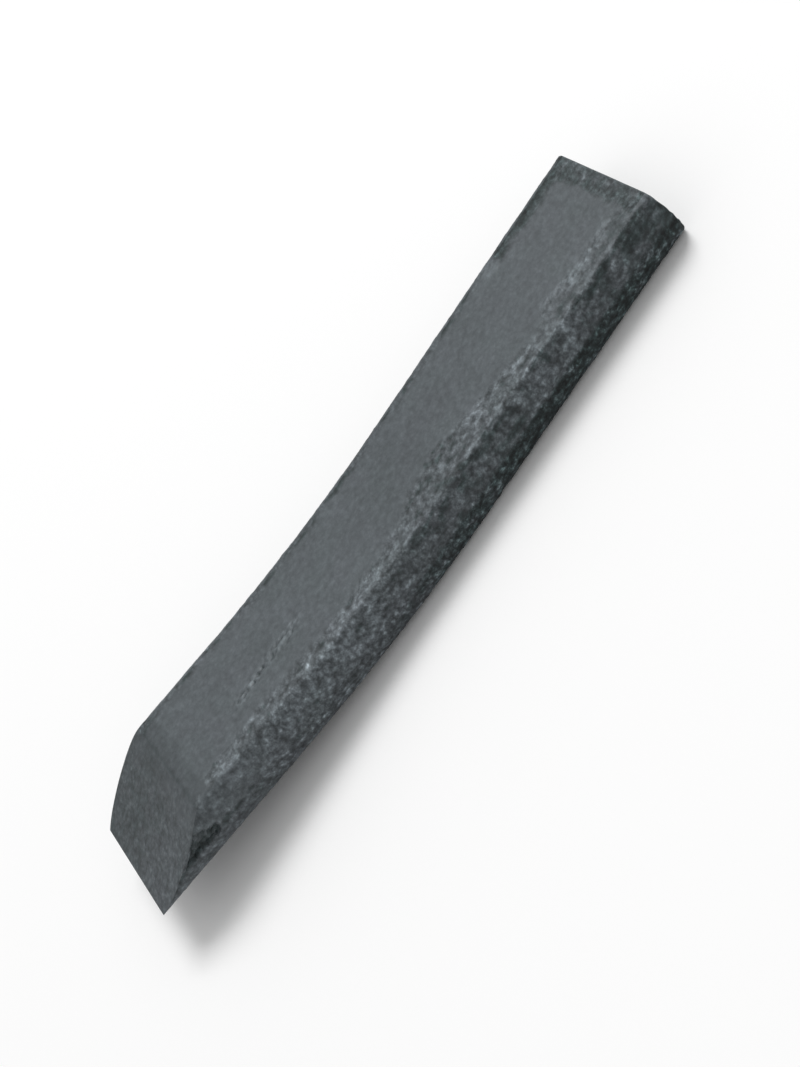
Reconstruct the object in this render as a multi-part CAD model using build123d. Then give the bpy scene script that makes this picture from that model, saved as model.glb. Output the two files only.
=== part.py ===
from build123d import *
import math
import os

# Weld-on chisel blade: one steel bar with bulging edges, bent once and bevelled to a chisel edge at one end.
# Millimetres. The origin is the middle of the flat weld face on the underside.
# +Z points up through the smooth top, +X runs to the cropped end, and the cutting edge lies towards -X.

# Section of the bar: flat top and back, and each edge is half an ellipse that bulges out between them
bar_width = 40.0
bar_thickness = 16.0
edge_bulge = 4.0

# Run of the back, from the cropped end to the cutting edge
weld_length = 80.0
bend_radius = 490.0
bend_angle = 8.0
tip_length = 56.0

# Chisel bevel on the top of the tip
bevel_length = 28.0
edge_thickness = 0.6
crease_radius = 18.0

# Broken edge round the cropped end
crop_chamfer = 0.5

half_width = bar_width / 2
cropped_end_x = weld_length / 2


def bar_section():
    """Section of the bar, drawn at the cropped end with its back on the ground."""
    flat_half = half_width - edge_bulge
    half_thickness = bar_thickness / 2
    with BuildSketch(Plane.YZ.offset(cropped_end_x)) as section:
        with BuildLine():
            Line((0, 0), (flat_half, 0))
            EllipticalCenterArc((flat_half, half_thickness), edge_bulge, half_thickness, -90, arc_size=180)
            Line((flat_half, bar_thickness), (0, bar_thickness))
            mirror(about=Plane.YZ)
        make_face()
    return section.sketch


def back_line():
    """Middle line of the back: the straight weld face, the bend that lifts the tip, and the straight tip."""
    with BuildLine(Plane.XZ) as line:
        weld_run = Line((cropped_end_x, 0), (cropped_end_x - weld_length, 0))
        bend = JernArc(weld_run @ 1, weld_run % 1, bend_radius, -bend_angle)
        Line(bend @ 1, (bend @ 1) + (bend % 1) * tip_length)
    return line.line


def bevel_cutter(edge_point, towards_bend):
    """All that the bevel takes away above the tip, with a round where the bevel runs out onto the top."""
    bevel_angle = math.atan2(bar_thickness - edge_thickness, bevel_length)
    up_the_bevel = Vector(math.cos(bevel_angle), math.sin(bevel_angle))
    round_start = crease_radius * math.tan(bevel_angle / 2)
    clear = bar_thickness
    low_end = Vector(0, edge_thickness) - up_the_bevel * clear
    crease = Vector(bevel_length, bar_thickness)
    cutter_top = bar_thickness + clear
    with BuildPart() as cutter:
        with BuildSketch(Plane(origin=edge_point, x_dir=towards_bend, z_dir=(0, -1, 0))):
            with BuildLine():
                bevel = Line(low_end, crease - up_the_bevel * round_start)
                runout = JernArc(bevel @ 1, bevel % 1, crease_radius, -math.degrees(bevel_angle))
                Polyline(runout @ 1, (bevel_length, cutter_top), (low_end.X, cutter_top), low_end)
            make_face()
        extrude(amount=half_width + clear, both=True)
    return cutter.part


def chisel_blade():
    """The bar swept along its back, with the cropped end's edge broken and the bevel cut."""
    section = bar_section()
    path = back_line()
    cutter = bevel_cutter(edge_point=path @ 1, towards_bend=path % 1 * -1)
    with BuildPart() as blade:
        sweep(sections=section, path=path)
        cropped_end = blade.faces().sort_by(Axis.X)[-1]
        chamfer(cropped_end.edges(), crop_chamfer)
        add(cutter, mode=Mode.SUBTRACT)
    return blade.part


os.makedirs("parts", exist_ok=True)
export_step(chisel_blade(), "parts/chisel_blade.step")
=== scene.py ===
"""Looks of the weld-on chisel blade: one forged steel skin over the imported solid, on a pale studio floor."""
import math

import bpy
import numpy as np
from mathutils import Matrix, Vector, noise


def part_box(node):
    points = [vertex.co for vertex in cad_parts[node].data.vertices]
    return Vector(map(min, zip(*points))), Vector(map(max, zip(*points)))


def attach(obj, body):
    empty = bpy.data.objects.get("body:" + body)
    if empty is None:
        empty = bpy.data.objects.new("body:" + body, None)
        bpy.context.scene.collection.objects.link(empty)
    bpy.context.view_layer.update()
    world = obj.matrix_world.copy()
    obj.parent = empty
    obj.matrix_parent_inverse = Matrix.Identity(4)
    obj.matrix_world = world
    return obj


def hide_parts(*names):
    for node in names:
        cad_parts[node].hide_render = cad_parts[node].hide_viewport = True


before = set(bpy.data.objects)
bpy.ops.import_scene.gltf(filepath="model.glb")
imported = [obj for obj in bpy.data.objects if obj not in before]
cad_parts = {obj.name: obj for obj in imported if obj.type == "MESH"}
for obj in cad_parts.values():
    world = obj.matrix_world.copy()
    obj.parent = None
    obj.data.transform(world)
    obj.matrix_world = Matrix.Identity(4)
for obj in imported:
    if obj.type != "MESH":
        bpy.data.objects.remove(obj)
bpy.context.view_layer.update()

MM = 0.001
low_corner, high_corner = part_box("chisel_blade")

# Sizes of the bar in millimetres. Width and the place of the cropped end come from the frame.
BAR_WIDTH = (high_corner.y - low_corner.y) / MM
CROPPED_END = high_corner.x / MM
BAR_THICKNESS = 16.0
EDGE_BULGE = 4.0
WELD_LENGTH = 2 * CROPPED_END
BEND_RADIUS = 490.0
BEND_ANGLE = math.radians(8.0)
TIP_LENGTH = 56.0
BEVEL_LENGTH = 28.0
EDGE_THICKNESS = 0.6
CREASE_RADIUS = 18.0
CROP_CHAMFER = 0.2

HALF_WIDTH = BAR_WIDTH / 2
FLAT_HALF = HALF_WIDTH - EDGE_BULGE
MID_HEIGHT = BAR_THICKNESS / 2
BEND_LENGTH = BEND_RADIUS * BEND_ANGLE
BLADE_LENGTH = WELD_LENGTH + BEND_LENGTH + TIP_LENGTH
BEVEL_SLOPE = (BAR_THICKNESS - EDGE_THICKNESS) / BEVEL_LENGTH
BEVEL_ANGLE = math.atan(BEVEL_SLOPE)
ROUND_START = CREASE_RADIUS * math.tan(BEVEL_ANGLE / 2)

# Edges that turn more than this stay crisp
SHARP_ANGLE = math.radians(42.0)

# Mesh density: columns across the top and down each edge, and rings along the blade
TOP_COLUMNS = 76
EDGE_COLUMNS = 44
END_RINGS = 10
END_RINGS_REACH = 3.0
BODY_RINGS = 382
RING = 2 * (TOP_COLUMNS + EDGE_COLUMNS)


def smooth_step(value, start, end):
    """0 before start, 1 after end, and a soft ramp between them."""
    part = np.clip((value - start) / (end - start), 0, 1)
    return part * part * (3 - 2 * part)


def band(value, start, end, soft):
    """1 between start and end, fading to 0 over soft outside them."""
    return smooth_step(value, start - soft, start) * (1 - smooth_step(value, end, end + soft))


def blobs(places, size, octaves=1, shift=0.0):
    """Smooth noise of about -1 to 1 whose blobs are about size across, at an array of places."""
    flat = places.reshape(-1, 3) / size + np.array([shift, -shift, 2 * shift])
    values = [noise.fractal(place, 1.0, 2.0, octaves) for place in flat.tolist()]
    return np.array(values).reshape(places.shape[:-1])


def top_height(run):
    """Height of the top over the back: the bar's thickness, then the crease's round, then the bevel."""
    from_edge = BLADE_LENGTH - run
    bevel = EDGE_THICKNESS + BEVEL_SLOPE * from_edge
    round_low = BEVEL_LENGTH - ROUND_START * math.cos(BEVEL_ANGLE)
    round_high = BEVEL_LENGTH + ROUND_START
    arc_run = np.clip(round_high - from_edge, 0, CREASE_RADIUS)
    arc = BAR_THICKNESS - CREASE_RADIUS + np.sqrt(CREASE_RADIUS ** 2 - arc_run ** 2)
    return np.where(from_edge < round_low, bevel, np.where(from_edge < round_high, arc, BAR_THICKNESS))


def ring_outline(run):
    """Across and height of one ring: top from far to near, near edge down, back from near to far, far edge up."""
    height = float(top_height(run))
    rise = max(-1.0, min(1.0, (height - MID_HEIGHT) / MID_HEIGHT))
    angles = np.linspace(math.asin(rise), -math.pi / 2, EDGE_COLUMNS + 1)
    edge_across = FLAT_HALF + EDGE_BULGE * np.cos(angles)
    edge_height = MID_HEIGHT + MID_HEIGHT * np.sin(angles)
    top_across = np.linspace(edge_across[0], -edge_across[0], TOP_COLUMNS + 1)
    back_across = np.linspace(-FLAT_HALF, FLAT_HALF, TOP_COLUMNS + 1)
    across = np.concatenate([top_across, -edge_across[1:], back_across[1:], edge_across[-2:0:-1]])
    heights = np.concatenate([np.full(TOP_COLUMNS + 1, height), edge_height[1:], np.zeros(TOP_COLUMNS),
                              edge_height[-2:0:-1]])
    inset = max(0.0, CROP_CHAMFER - run)
    across = across * (1 - inset / HALF_WIDTH)
    heights = MID_HEIGHT + (heights - MID_HEIGHT) * (1 - inset / MID_HEIGHT)
    return across, heights


def bend(straight):
    """Places on the bent blade of places (run, across, height) on the straight bar, in millimetres."""
    run, across, height = straight[..., 0], straight[..., 1], straight[..., 2]
    turn = np.clip((run - WELD_LENGTH) / BEND_RADIUS, 0, BEND_ANGLE)
    beyond = np.maximum(run - WELD_LENGTH - BEND_LENGTH, 0)
    flat_run = np.minimum(run, WELD_LENGTH)
    x = CROPPED_END - flat_run - BEND_RADIUS * np.sin(turn) - beyond * np.cos(turn) + height * np.sin(turn)
    z = BEND_RADIUS * (1 - np.cos(turn)) + beyond * np.sin(turn) + height * np.cos(turn)
    return np.stack([x, across, z], axis=-1)


def side_grid():
    """The undisturbed skin on the straight bar, as (run, across, height) over rings and columns."""
    runs = np.concatenate([np.linspace(0, END_RINGS_REACH, END_RINGS, endpoint=False),
                           np.linspace(END_RINGS_REACH, BLADE_LENGTH, BODY_RINGS)])
    rings = []
    for run in runs:
        across, height = ring_outline(run)
        rings.append(np.stack([np.full(RING, run), across, height], axis=-1))
    return np.array(rings)


def end_grid(ring):
    """Inner places of the cropped end, blended between the four sides of its ring."""
    near_corner = TOP_COLUMNS
    near_back = TOP_COLUMNS + EDGE_COLUMNS
    far_back = near_back + TOP_COLUMNS
    top = ring[:near_corner + 1]
    near = ring[near_corner:near_back + 1]
    back = ring[near_back:far_back + 1][::-1]
    far = np.concatenate([ring[far_back:], ring[:1]])[::-1]
    u = np.linspace(0, 1, TOP_COLUMNS + 1)[1:-1, None, None]
    v = np.linspace(0, 1, EDGE_COLUMNS + 1)[None, 1:-1, None]
    along = (1 - v) * top[1:-1, None] + v * back[1:-1, None]
    down = (1 - u) * far[None, 1:-1] + u * near[None, 1:-1]
    corners = (1 - u) * (1 - v) * top[0] + u * (1 - v) * top[-1] + (1 - u) * v * back[0] + u * v * back[-1]
    return along + down - corners


def skin_faces(rings):
    """Quads of the side skin, the cropped end and the tip. The end's inner vertices follow the side's."""
    faces = []
    for ring in range(rings - 1):
        for column in range(RING):
            after = (column + 1) % RING
            faces.append((ring * RING + column, (ring + 1) * RING + column,
                          (ring + 1) * RING + after, ring * RING + after))
    inner_start = rings * RING
    inner_rows = EDGE_COLUMNS - 1
    near_back = TOP_COLUMNS + EDGE_COLUMNS

    def end_vertex(u, v):
        if v == 0:
            return u
        if v == EDGE_COLUMNS:
            return near_back + TOP_COLUMNS - u
        if u == 0:
            return RING - v
        if u == TOP_COLUMNS:
            return TOP_COLUMNS + v
        return inner_start + (u - 1) * inner_rows + v - 1

    for u in range(TOP_COLUMNS):
        for v in range(EDGE_COLUMNS):
            faces.append((end_vertex(u, v), end_vertex(u + 1, v), end_vertex(u + 1, v + 1), end_vertex(u, v + 1)))
    tip = (rings - 1) * RING
    far_back = near_back + TOP_COLUMNS
    for column in range(TOP_COLUMNS):
        faces.append((tip + column, tip + far_back - column, tip + far_back - column - 1, tip + column + 1))
    faces.append([tip + column for column in range(near_back, TOP_COLUMNS - 1, -1)])
    faces.append([tip + column for column in range(RING - 1, far_back - 1, -1)] + [tip])
    return faces


def edge_drop(height):
    """Length of the bulge from the top corner down to a height."""
    angles = np.linspace(math.pi / 2, -math.pi / 2, 181)
    outline = np.stack([EDGE_BULGE * np.cos(angles), MID_HEIGHT + MID_HEIGHT * np.sin(angles)], axis=-1)
    lengths = np.concatenate([[0], np.cumsum(np.linalg.norm(np.diff(outline, axis=0), axis=1))])
    return np.interp(-height, -outline[:, 1], lengths)


def wrap_place(straight):
    """Distance round the section: 0 at the far top corner, 32 at the near one, and on down the near bulge."""
    across, height = straight[:, 1], straight[:, 2]
    drop = edge_drop(height)
    on_edge = np.abs(across) > FLAT_HALF
    flat = FLAT_HALF - across
    return np.where(on_edge & (across < 0), 2 * FLAT_HALF + drop, np.where(on_edge, -drop, flat))


def line_distance(run, wrap, points):
    """Distance on the skin to a line through a few points (run, wrap)."""
    best = np.full(run.shape, 1e9)
    for (run_a, wrap_a), (run_b, wrap_b) in zip(points, points[1:]):
        step_run, step_wrap = run_b - run_a, wrap_b - wrap_a
        part = ((run - run_a) * step_run + (wrap - wrap_a) * step_wrap) / (step_run ** 2 + step_wrap ** 2)
        part = np.clip(part, 0, 1)
        best = np.minimum(best, np.hypot(run - run_a - part * step_run, wrap - wrap_a - part * step_wrap))
    return best


def spot(run, wrap, centre, size, soft=0.35):
    """1 inside an ellipse on the skin, fading out over the soft share of its size."""
    reach = np.hypot((run - centre[0]) / size[0], (wrap - centre[1]) / size[1])
    return 1 - smooth_step(reach, 1 - soft, 1 + soft)


# Marks of the forging and specks of painted highlight, as points (run, wrap) in millimetres on the skin
WORN_EDGE = ((0, 31), (8, 27), (16, 26.0), (26, 25.6), (34, 25.0), (38, 28.6), (46, 27.8), (56, 25.6), (64, 24.4),
             (76, 22.2), (86, 23.0), (94, 26.5), (108, 28.4), (130, 28.2), (150, 28.0), (172, 29.5))
STREAK = ((10.7, 26.4), (16.1, 27.9), (21, 28.6), (27.5, 26.8), (33.4, 25.4))
WAVY_LINE = ((61.6, 27.6), (63.1, 26.8), (64.8, 25.2), (66.4, 25.6), (69.3, 24.0), (71.5, 23.2))
ARC_LINE = ((42.8, 29.0), (44.6, 29.6), (46.6, 29.6), (48.8, 28.8), (50.2, 27.4), (52.6, 26.5))
CORNER_LINES = (((44, 32.9), (50, 33.1)), ((56.8, 32.6), (59.4, 32.4)), ((63.7, 33.1), (69.7, 32.9)),
                ((82.7, 33.0), (87.7, 32.9)), ((91, 32.7), (100, 32.6)), ((117.5, 33.3), (122, 33.0)))
PIT_ROW = ((130.5, 18.8), (138, 19.6), (146, 20.4), (153.5, 21.8))
# Painted highlights: small glints, most along the near shoulder, each on a slight real bump
GLINT_SPECKS = ((15.6, 29.2), (42.0, 31.4), (124.2, 29.7), (131.2, 33.3), (134.9, 31.8), (138.3, 31.5), (142.9, 30.8),
                 (145.6, 29.3), (147.8, 34.4), (156.4, 29.4), (162.1, 33.2), (166.2, 32.1), (169.4, 31.8),
                 (171.4, 31.4), (173.3, 40.0), (176.9, 40.7), (183.7, 39.2))

# Broader marks: run, wrap, half length, half width
DARK_SPOTS = ((12.0, 30.4, 6.5, 2.0), (29.5, 30.9, 4.2, 1.3), (16.6, 27.0, 1.2, 0.9), (53.0, 28.5, 1.4, 2.4),
              (5.0, 33.6, 3.2, 0.5), (19.5, 34.2, 2.6, 1.0), (25.2, 34.9, 2.6, 0.7), (42.9, 35.1, 1.1, 1.5),
              (67.0, 35.0, 3.6, 0.8), (60.3, 39.0, 3.4, 1.0), (85.5, 35.6, 2.4, 0.7), (84.0, 40.2, 1.0, 0.9),
              (105.7, 35.5, 0.7, 0.7), (112.0, 38.7, 0.9, 0.7), (120.0, 36.2, 1.6, 0.6), (140.3, 39.7, 1.0, 0.7),
              (146.5, 39.2, 0.9, 0.6), (166.3, 41.4, 1.4, 0.7), (171.0, 41.9, 2.4, 0.6), (175.2, 41.6, 1.6, 0.8),
              (124.8, 30.6, 0.9, 0.7), (131.3, 28.6, 0.8, 0.7), (126.5, 32.6, 1.3, 0.6), (149.8, 31.6, 1.0, 0.7))
LIGHT_SPOTS = ((23.5, 29.2, 4.6, 2.2), (4.6, 29.4, 0.7, 2.0), (37.5, 32.3, 4.0, 1.0), (24.6, 36.2, 1.1, 0.5),
               (11.0, 40.6, 3.0, 0.5), (18.5, 40.5, 2.4, 0.5), (106.0, 31.0, 2.2, 1.4), (111.0, 29.3, 1.4, 0.9),
               (120.4, 31.0, 1.8, 1.4), (116.3, 40.7, 1.3, 0.8), (106.7, 44.0, 0.9, 1.2), (125.4, 39.3, 1.4, 1.6),
               (130.7, 38.0, 1.2, 0.7), (133.4, 40.3, 1.6, 0.9), (120.5, 38.4, 1.5, 0.7), (77.5, 22.6, 1.6, 0.5),
               (81.8, 23.0, 1.3, 0.7), (180.6, 37.2, 1.8, 0.8), (69.8, 30.2, 1.2, 2.0))
SCALE_BLOBS = ((56.3, 28.3, 1.3, 1.4), (61.7, 28.4, 1.3, 1.5))
EDGE_RING = (32.0, 1.3, 3.2, 2.6)
# Lap groove on the near side by the bevel: a real dent, and its darkening is painted shade
SHADED_LAP_TOP = ((177.0, 41.0), (180.5, 39.2), (183.0, 38.0), (190.5, 42.4))
SHADED_LAP_LINE = ((164, 41.8), (172, 42.4), (179, 42.8), (190, 42.8), (193, 43.4), (200, 47.0))


def skin_regions(run, wrap, height, is_end, middle, coarse, blotches):
    """How much every place belongs to each region of the skin, from 0 to 1."""
    on_back = (height < 0.01) & ~is_end
    flat_top = (height > top_height(run) - 0.02) & ~is_end & ~on_back
    on_bevel = smooth_step(run, 176.5, 179.5) * flat_top
    blunt = 1 - smooth_step(run, 8, 22)
    ragged = 0.4 + 0.3 * blunt + 0.5 * smooth_step(run, 118, 135)
    start = 0.6 + 0.25 * middle + 0.2 * coarse + ragged * blotches
    near_side = smooth_step(wrap, 32 + start, 32.6 + start)
    far_side = smooth_step(-wrap, start - 0.3, start + 0.4)
    side = np.where(is_end | on_back, 0.0, np.maximum(near_side, far_side)) * (1 - on_bevel)
    worn_start = np.interp(run, *np.array(WORN_EDGE).T) + 0.8 * middle + 0.8 * coarse
    worn = smooth_step(wrap, worn_start - 0.5, worn_start + 1.2) * (1 - side) * (1 - smooth_step(run, 170.5, 172.5))
    worn = np.where(is_end | on_back, 0.0, worn)
    return {
        "back": on_back.astype(float),
        "top": flat_top.astype(float),
        "bevel": on_bevel,
        "side": side,
        "worn": worn,
        "blunt": blunt,
        "quiet": worn * band(run, 4, 40, 4),
        "patch": worn * band(run, 70 + 2 * coarse, 89 + 2 * coarse, 4),
        "end_band": (1 - smooth_step(run + 0.9 * middle, 4.4, 6.4)) * flat_top,
        "far_strip": band(run, 7, 28, 3) * (1 - smooth_step(wrap + 2.0 * coarse, 2.0, 5.5)) * flat_top,
        "far_soft": (1 - smooth_step(wrap + 0.8 * coarse, 0.0, 2.5)) * flat_top * (1 - on_bevel),
        "lower": smooth_step(wrap + 0.6 * middle + 0.6 * coarse, 40.6, 42.4),
        "tipward": smooth_step(run, 85, 120),
        "calm_tip": smooth_step(run, 148, 172) * side,
        "layered": band(wrap, 32.6, 35.4, 0.9) * band(run, 16, 85, 20),
    }


def skin_fields(straight, is_end):
    """Displacement in millimetres, tone and grain of every place on the skin."""
    run = straight[:, 0]
    height = straight[:, 2]
    wrap = wrap_place(straight)
    stretched = straight / np.array([4.5, 1.0, 1.0])
    coarse = blobs(straight, 5.0, 2, 3.1)
    middle = blobs(straight, 1.9, 2, 11.7)
    fine = blobs(straight, 0.9, 1, 23.9)
    long_waves = blobs(stretched, 9.0, 2, 37.3)
    streaks = blobs(stretched, 0.9, 2, 51.3)
    blotches = blobs(straight / np.array([1.7, 1.0, 1.0]), 2.6, 2, 83.3)
    clouds = blobs(straight / np.array([1.3, 1.0, 1.0]), 11.0, 2, 97.1)
    at = skin_regions(run, wrap, height, is_end, middle, coarse, blotches)
    side, worn, lower, tipward = at["side"], at["worn"], at["lower"], at["tipward"]

    # Tone of each region against the smooth top
    flecks = smooth_step(blotches, 0.12, 0.4) - smooth_step(-middle, 0.12, 0.4)
    tone = 0.95 + 0.08 * clouds + 0.06 * middle + 0.05 * coarse - 0.06 * smooth_step(fine, 0.45, 0.6)
    tone += (0.08 + 0.4 * blotches + 0.22 * middle + 0.14 * flecks) * (worn - 0.5 * at["quiet"])
    tone -= 0.22 * at["patch"] + 0.06 * at["quiet"]
    tone *= 1 - (0.33 + 0.3 * blotches) * at["end_band"] - 0.05 * band(run, 5, 12, 3)
    tone *= 1 - (0.46 + 0.3 * blotches) * at["far_strip"]
    tone *= 1 - (0.1 + 0.55 * smooth_step(-blotches, 0.0, 0.3)) * at["far_soft"]
    side_tone = 0.8 - 0.22 * at["blunt"] * band(wrap, 36.5, 41, 1) + 0.2 * band(run, 36, 52, 8) * (1 - lower)
    side_tone += 0.3 * tipward - 0.06 * smooth_step(run, 150, 170)
    # Lower half of the bulge darker: partly the scale's own darker tone, partly painted shade of the underside that
    # faces the floor, less of it towards the raised tip
    side_tone -= lower * (0.38 - 0.2 * tipward + 0.12 * band(run, 38, 62, 8) - 0.06 * band(run, 84, 96, 8))
    side_tone += 0.17 * coarse + 0.2 * blotches + 0.14 * flecks + (0.1 + 0.45 * at["layered"]) * streaks
    side_tone += 0.06 * at["calm_tip"] - 0.08 * at["layered"] * (1 - band(run, 36, 52, 8))
    side_tone = 0.85 + (side_tone - 0.85) * (1 - 0.45 * smooth_step(run, 158, 178) * (1 - lower))
    tone = tone * (1 - side) + side_tone * side
    crease = band(run, 172.6, 177.5, 0.9) * at["top"]
    tone *= 1 - 0.06 * crease - 0.24 * np.exp(-((run - 177.5) / 0.75) ** 2) * at["top"]
    # The bevel's darker base is painted shade of its slope turned away from the light; it gets lighter towards the
    # near side, and the mottling towards the edge is the scale's own
    mottled = smooth_step(run, 178, 188)
    bevel_tone = 0.72 + 0.14 * smooth_step(wrap, 6, 30) + mottled * (0.1 * coarse + 0.08 * middle + 0.1 * blotches)
    tone = tone * (1 - at["bevel"]) + bevel_tone * at["bevel"]

    grain = 0.2 + 0.45 * worn - 0.2 * at["quiet"] + 0.5 * at["end_band"] + 0.4 * at["far_strip"]
    grain += (0.05 + 0.2 * mottled) * at["bevel"]
    grain += side * (0.65 + 0.7 * lower * (1 - tipward) + 0.2 * lower * tipward - 0.35 * at["calm_tip"])
    grain += 0.3 * at["far_soft"]
    back_tone = 0.82 + 0.1 * clouds + 0.08 * coarse + 0.1 * blotches + 0.08 * middle
    burnish = smooth_step(height + 1.2 * coarse, 9.0, 10.4)
    shear_lines = blobs(straight / np.array([1.0, 1.0, 9.0]), 1.0, 2, 17.9)
    end_tone = 0.62 + 0.14 * burnish + 0.35 * shear_lines * burnish + (0.3 * middle + 0.2 * blotches) * (1 - burnish)
    grain = np.where(is_end, 0.75 - 0.45 * burnish, np.where(on_part(at["back"]), 0.5, grain))
    tone = np.where(is_end, end_tone, np.where(on_part(at["back"]), back_tone, tone))

    rough = np.clip(side - 0.5 * at["calm_tip"] + 0.5 * at["end_band"] + 0.5 * worn + 0.25 * at["bevel"], 0, 1)
    rough = np.where(is_end, 1 - burnish, np.where(on_part(at["back"]), 0.35, rough))
    rough *= np.where(wrap < 0, 0.6, 1.0)
    lift = rough * (0.14 * middle + 0.1 * fine + 0.08 * blotches) + (0.03 + 0.04 * side) * coarse
    lift += 0.05 * side * (long_waves + 2.5 * streaks * at["layered"]) - 0.08 * worn - 0.06 * at["end_band"]

    marks_lift, marks_tone = forging_marks(straight, run, wrap, side, middle)
    lift += marks_lift
    tone = tone * marks_tone

    lift = np.where(is_end, lift - 0.25 * (1 - burnish) + 0.04 * shear_lines * burnish, lift)

    # Displacement dies out towards the thin edge
    lift *= smooth_step(BLADE_LENGTH - run, 0.0, 9.0) * 0.9 + 0.1
    return lift, np.maximum(tone, 0.12), grain


def on_part(amount):
    """True where a region's amount is more than half."""
    return amount > 0.5


def near_line(run, wrap, points, width):
    """1 on a line through a few points, fading over its width."""
    return np.exp(-(line_distance(run, wrap, points) / width) ** 2)


def forging_marks(straight, run, wrap, side, middle):
    """Single marks of the forging, with painted highlights on small specks and painted shade in the lap groove:
    displacement in millimetres, and tone to multiply with.
    """
    pit_shape = blobs(straight / np.array([1.3, 1.0, 1.0]), 1.0, 2, 71.0)
    pits = near_line(run, wrap, PIT_ROW, 1.7)
    lift = pits * np.where(pit_shape > 0.0, 0.25, 0.8) * pit_shape
    tone = 1 + pits * (0.14 + 1.1 * pit_shape)
    streak = near_line(run, wrap, STREAK, 1.2)
    tone += streak * (0.3 + 0.7 * pit_shape)
    lift += streak * (0.08 + 0.3 * pit_shape)
    line = near_line(run, wrap, WAVY_LINE, 0.55) + near_line(run, wrap, ARC_LINE, 0.45)
    for points in CORNER_LINES:
        line += 0.7 * near_line(run, wrap, points, 0.4)
    tone += line * (0.4 + 0.6 * middle)
    lift += 0.14 * line
    # Painted highlights on the glint specks, over slight bumps
    for centre in GLINT_SPECKS:
        glint_speck = spot(run, wrap, centre, (0.5, 0.7), 0.5)
        lift += 0.12 * glint_speck
        tone += 0.75 * glint_speck
    for mark in DARK_SPOTS:
        dark = spot(run + 0.5 * middle, wrap + 0.4 * middle, mark[:2], mark[2:], 0.5)
        lift -= 0.1 * dark * side
        tone *= 1 - (0.26 + 0.2 * side) * dark
    for mark in LIGHT_SPOTS:
        light = spot(run + 0.5 * middle, wrap + 0.4 * middle, mark[:2], mark[2:], 0.5)
        tone += light * (0.2 + 0.5 * pit_shape + 0.15 * side)
    for mark in SCALE_BLOBS:
        blob = spot(run, wrap, mark[:2], mark[2:], 0.3)
        lift += 0.2 * blob
        tone += 0.45 * blob
    ring = spot(run, wrap, EDGE_RING[:2], EDGE_RING[2:], 0.3)
    ring_hollow = spot(run, wrap, EDGE_RING[:2], (0.6 * EDGE_RING[2], 0.6 * EDGE_RING[3]), 0.4)
    tone += ring * (0.2 + 0.35 * pit_shape) + 0.2 * (ring - ring_hollow)
    lift += 0.1 * (ring - ring_hollow)

    shaded_lap_top = np.interp(run, *np.array(SHADED_LAP_TOP).T) + 0.6 * middle
    shaded_lap = smooth_step(wrap, shaded_lap_top - 0.3, shaded_lap_top + 0.3) * (1 - smooth_step(wrap + 0.6 * pit_shape, 42.6, 43.0))
    shaded_lap *= band(run, 178.0, 190.5, 0.8) * side
    shaded_lap_line = near_line(run, wrap + 0.5 * pit_shape, SHADED_LAP_LINE, 0.4) * side * smooth_step(run, 164, 180)
    lift -= (0.9 - 0.6 * pit_shape) * shaded_lap + 0.3 * shaded_lap_line
    # Painted shade darkens the lap groove and the line along it
    tone *= 1 - (0.45 - 0.5 * pit_shape) * shaded_lap - 0.35 * shaded_lap_line * (1 - shaded_lap)
    return lift, tone


def float_layer(mesh, name, values):
    """Stores one number per vertex for the material to read."""
    layer = mesh.attributes.new(name, "FLOAT", "POINT")
    layer.data.foreach_set("value", values.astype(np.float32))


def make_blade():
    """The whole forging as one closed mesh, pushed in and out along its normals."""
    side = side_grid()
    end = end_grid(side[0]).reshape(-1, 3)
    straight = np.concatenate([side.reshape(-1, 3), end])
    is_end = np.zeros(len(straight), bool)
    is_end[-len(end):] = True
    mesh = bpy.data.meshes.new("blade_forging")
    places = bend(straight)
    mesh.from_pydata(places.tolist(), [], skin_faces(len(side)))
    normals = np.empty(len(straight) * 3, np.float32)
    mesh.vertex_normals.foreach_get("vector", normals)
    lift, tone, grain = skin_fields(straight, is_end)
    places = places + normals.reshape(-1, 3) * lift[:, None]
    mesh.vertices.foreach_set("co", (places * MM).ravel().astype(np.float32))
    mesh.update()
    mesh.shade_smooth()
    mesh.set_sharp_from_angle(angle=SHARP_ANGLE)
    float_layer(mesh, "tone", tone)
    float_layer(mesh, "grain", grain)
    piece = bpy.data.objects.new("blade_forging", mesh)
    bpy.context.collection.objects.link(piece)
    return piece


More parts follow.
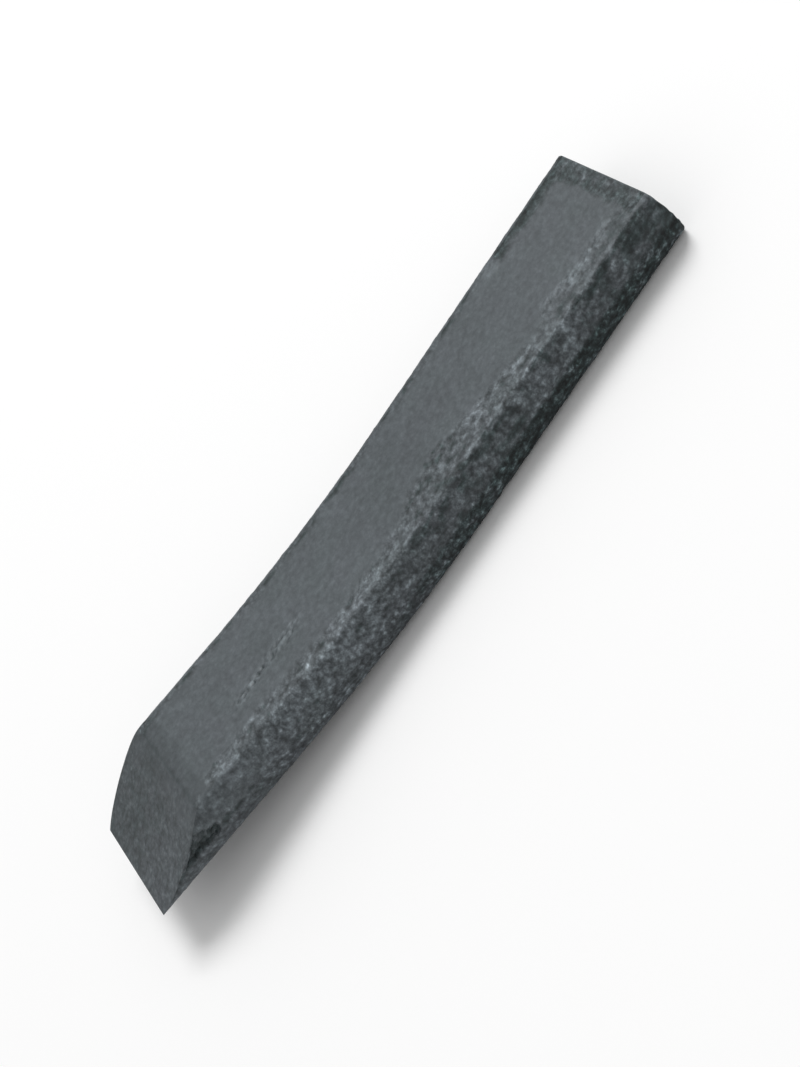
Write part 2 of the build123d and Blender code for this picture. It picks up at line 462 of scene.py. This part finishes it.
class NodeTree:
    """Short calls for building a material's nodes."""

    def __init__(self, name):
        self.material = bpy.data.materials.new(name)
        self.material.use_nodes = True
        self.tree = self.material.node_tree
        self.shader = self.tree.nodes["Principled BSDF"]

    def node(self, kind, **settings):
        """A node with its settings."""
        node = self.tree.nodes.new(kind)
        for key, value in settings.items():
            setattr(node, key, value)
        return node

    def feed(self, socket, value):
        """Links or sets one input."""
        if isinstance(value, bpy.types.NodeSocket):
            self.tree.links.new(value, socket)
        else:
            socket.default_value = value

    def math(self, operation, first, second=0.0):
        """One Math node."""
        node = self.node("ShaderNodeMath", operation=operation)
        self.feed(node.inputs[0], first)
        self.feed(node.inputs[1], second)
        return node.outputs[0]

    def attribute(self, name):
        """A number stored on the vertices."""
        return self.node("ShaderNodeAttribute", attribute_name=name).outputs["Fac"]

    def noise(self, size_mm, detail=2.0, roughness=0.5):
        """Noise of about -0.5 to 0.5 whose grains are about size_mm across."""
        texture = self.node("ShaderNodeTexNoise")
        self.feed(texture.inputs["Vector"], self.place)
        texture.inputs["Scale"].default_value = 1 / (size_mm * MM)
        texture.inputs["Detail"].default_value = detail
        texture.inputs["Roughness"].default_value = roughness
        return self.math("SUBTRACT", texture.outputs["Fac"], 0.5)

    def flakes(self, size_mm, warp_mm):
        """Grains with dark gaps between them, light in the middle, of about -0.5 to 0.5."""
        bender = self.node("ShaderNodeTexNoise")
        self.feed(bender.inputs["Vector"], self.place)
        bender.inputs["Scale"].default_value = 1 / (1.6 * size_mm * MM)
        shift = self.node("ShaderNodeVectorMath", operation="MULTIPLY_ADD")
        self.feed(shift.inputs[0], bender.outputs["Color"])
        shift.inputs[1].default_value = (4 * warp_mm * MM,) * 3
        self.feed(shift.inputs[2], self.place)
        texture = self.node("ShaderNodeTexVoronoi")
        self.feed(texture.inputs["Vector"], shift.outputs[0])
        texture.inputs["Scale"].default_value = 1 / (size_mm * MM)
        return self.math("SUBTRACT", 0.5, texture.outputs["Distance"])


def forged_steel():
    """Black forging scale, smooth on the top and grainy where the grain layer says so."""
    tree = NodeTree("forged_steel")
    tree.place = tree.node("ShaderNodeTexCoord").outputs["Object"]
    tone = tree.attribute("tone")
    grain = tree.attribute("grain")
    cloud = tree.noise(2.0, detail=4.0, roughness=0.72)
    flakes = tree.flakes(1.3, warp_mm=0.5)
    speckle = tree.math("ADD", tree.math("MULTIPLY", cloud, 5.5), tree.math("MULTIPLY", flakes, 1.3))
    factor = tree.math("EXPONENT", tree.math("MULTIPLY", speckle, grain))
    value = tree.math("MULTIPLY", tone, factor)
    tint = tree.node("ShaderNodeMix", data_type="RGBA")
    tree.feed(tint.inputs["Factor"], tree.math("ADD", tree.noise(9.0), 0.5))
    tint.inputs[6].default_value = STEEL_COOL
    tint.inputs[7].default_value = STEEL_GREEN
    deep = tree.node("ShaderNodeMix", data_type="RGBA")
    tree.feed(deep.inputs["Factor"], tree.math("MULTIPLY", tree.math("SUBTRACT", 0.8, tone), 1.9))
    tree.feed(deep.inputs[6], tint.outputs[2])
    deep.inputs[7].default_value = STEEL_DEEP
    colour = tree.node("ShaderNodeVectorMath", operation="SCALE")
    tree.feed(colour.inputs[0], deep.outputs[2])
    tree.feed(colour.inputs["Scale"], value)
    tree.feed(tree.shader.inputs["Base Color"], colour.outputs[0])
    tree.shader.inputs["Metallic"].default_value = 0.3
    rough = tree.math("ADD", tree.math("MULTIPLY", grain, 0.2), 0.48)
    tree.feed(tree.shader.inputs["Roughness"], rough)
    bump = tree.node("ShaderNodeBump")
    bump.inputs["Strength"].default_value = 1.0
    bump.inputs["Distance"].default_value = 1.0
    relief = tree.math("MULTIPLY", tree.math("MULTIPLY", speckle, 0.07 * MM), grain)
    tree.feed(bump.inputs["Height"], relief)
    tree.feed(tree.shader.inputs["Normal"], bump.outputs[0])
    return tree.material


STEEL_COOL = (0.099, 0.110, 0.123, 1)
STEEL_GREEN = (0.091, 0.110, 0.116, 1)
STEEL_DEEP = (0.080, 0.118, 0.120, 1)

blade = make_blade()
blade.data.materials.append(forged_steel())
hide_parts("chisel_blade")
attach(blade, "root")

# Camera at the photograph's angle, in millimetres of the frame
CAMERA_TARGET = Vector((-62.209, 0.0, 8.0))
CAMERA_AZIMUTH = math.radians(7.949)
CAMERA_ELEVATION = math.radians(41.438)
CAMERA_ROLL = math.radians(-60.847)
CAMERA_SLIDE = (5.176, 2.62)
CAMERA_DISTANCE = 378.122
CAMERA_LENS = 52.348
CAMERA_SENSOR = 36.0


def place_camera():
    """The camera, turned about its own axis so that the blade runs across the picture's corner."""
    back = Vector((math.sin(CAMERA_AZIMUTH) * math.cos(CAMERA_ELEVATION),
                   -math.cos(CAMERA_AZIMUTH) * math.cos(CAMERA_ELEVATION), math.sin(CAMERA_ELEVATION)))
    level = Vector((math.cos(CAMERA_AZIMUTH), math.sin(CAMERA_AZIMUTH), 0))
    upright = back.cross(level)
    right = math.cos(CAMERA_ROLL) * level + math.sin(CAMERA_ROLL) * upright
    up = back.cross(right)
    eye = CAMERA_TARGET + CAMERA_SLIDE[0] * right + CAMERA_SLIDE[1] * up + CAMERA_DISTANCE * back
    camera_data = bpy.data.cameras.new("photo_camera")
    camera_data.sensor_fit = "VERTICAL"
    camera_data.sensor_height = CAMERA_SENSOR
    camera_data.lens = CAMERA_LENS
    camera_data.clip_start = 0.01
    camera = bpy.data.objects.new("photo_camera", camera_data)
    turn = Matrix((right, up, back)).transposed().to_4x4()
    camera.matrix_world = Matrix.Translation(eye * MM) @ turn
    bpy.context.collection.objects.link(camera)
    bpy.context.scene.camera = camera


def area_light(name, place, size, power):
    """A soft square light aimed at the middle of the blade. Place and size are in metres."""
    light_data = bpy.data.lights.new(name, "AREA")
    light_data.size = size
    light_data.energy = power
    light = bpy.data.objects.new(name, light_data)
    aim = CAMERA_TARGET * MM - Vector(place)
    light.matrix_world = Matrix.Translation(place) @ aim.to_track_quat("-Z", "Y").to_matrix().to_4x4()
    bpy.context.collection.objects.link(light)


def floor_material():
    """White to the camera and to reflections, and paler grey as a source of bounced light."""
    tree = NodeTree("floor")
    path = tree.node("ShaderNodeLightPath")
    seen = tree.math("MAXIMUM", path.outputs["Is Camera Ray"], path.outputs["Is Glossy Ray"])
    mix = tree.node("ShaderNodeMix", data_type="RGBA")
    tree.feed(mix.inputs["Factor"], seen)
    mix.inputs[6].default_value = (0.5, 0.5, 0.5, 1)
    mix.inputs[7].default_value = (1, 1, 1, 1)
    tree.feed(tree.shader.inputs["Base Color"], mix.outputs[2])
    tree.shader.inputs["Roughness"].default_value = 1.0
    tree.shader.inputs["Specular IOR Level"].default_value = 0.0
    return tree.material


def studio():
    """Pale floor under the blade, white surround and one soft light above."""
    mesh = bpy.data.meshes.new("floor")
    mesh.from_pydata([(-3, -3, 0), (3, -3, 0), (3, 3, 0), (-3, 3, 0)], [], [(0, 1, 2, 3)])
    floor = bpy.data.objects.new("floor", mesh)
    bpy.context.collection.objects.link(floor)
    mesh.materials.append(floor_material())
    world = bpy.data.worlds.new("studio")
    bpy.context.scene.world = world
    world.use_nodes = True
    background = world.node_tree.nodes["Background"]
    background.inputs["Color"].default_value = (1, 1, 1, 1)
    background.inputs["Strength"].default_value = 0.52
    area_light("key_light", (1.5, 1.3, 3.4), 2.0, 92)


place_camera()
studio()
bpy.context.scene.view_settings.view_transform = "Standard"
